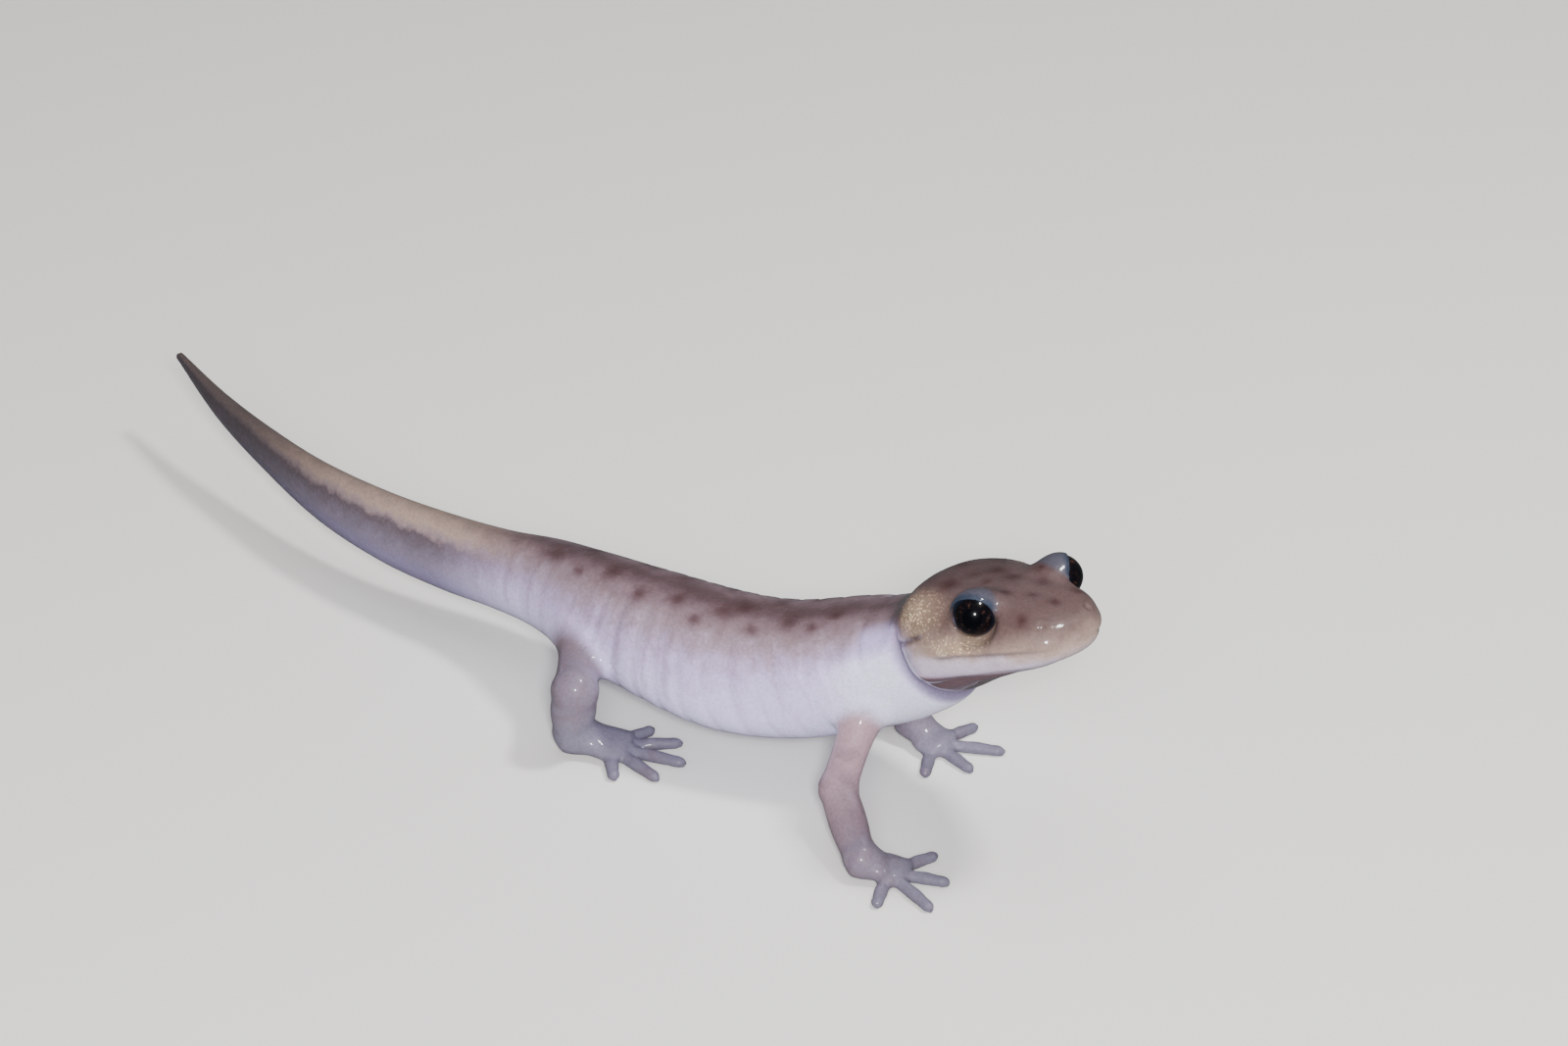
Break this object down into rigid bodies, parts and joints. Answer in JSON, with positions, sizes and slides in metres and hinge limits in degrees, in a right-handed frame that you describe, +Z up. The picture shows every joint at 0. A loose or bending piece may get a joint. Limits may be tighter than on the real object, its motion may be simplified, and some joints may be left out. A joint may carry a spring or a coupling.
{
  "type": "juvenile mole salamander",
  "caption": "Life-size still model of a young mole salamander standing alert with its head raised, forelegs braced and tail trailing in a gentle curve.",
  "frame": {"origin": "on the floor under the middle of the animal's box", "axes": "+X from the tail towards the head, +Y to the animal's left, +Z up"},
  "size_m": [0.0886, 0.0252, 0.0213],
  "materials": {
    "skin": "moist, satin to glossy, mauve-brown above and pale lavender below",
    "eye": "glossy, near black with fine gold specks"
  },
  "bodies": {
    "root": {"chest": "skin", "eye_left": "eye", "eye_right": "eye", "foot_left": "skin", "foot_right": "skin", "forearm_left": "skin", "forearm_right": "skin", "hand_left": "skin", "hand_right": "skin", "head": "skin", "lower_jaw": "skin", "neck": "skin", "pelvis": "skin", "shank_left": "skin", "shank_right": "skin", "tail_base": "skin", "tail_middle": "skin", "tail_tip": "skin", "thigh_left": "skin", "thigh_right": "skin", "trunk": "skin", "upper_arm_left": "skin", "upper_arm_right": "skin"}
  },
  "joints": []
}
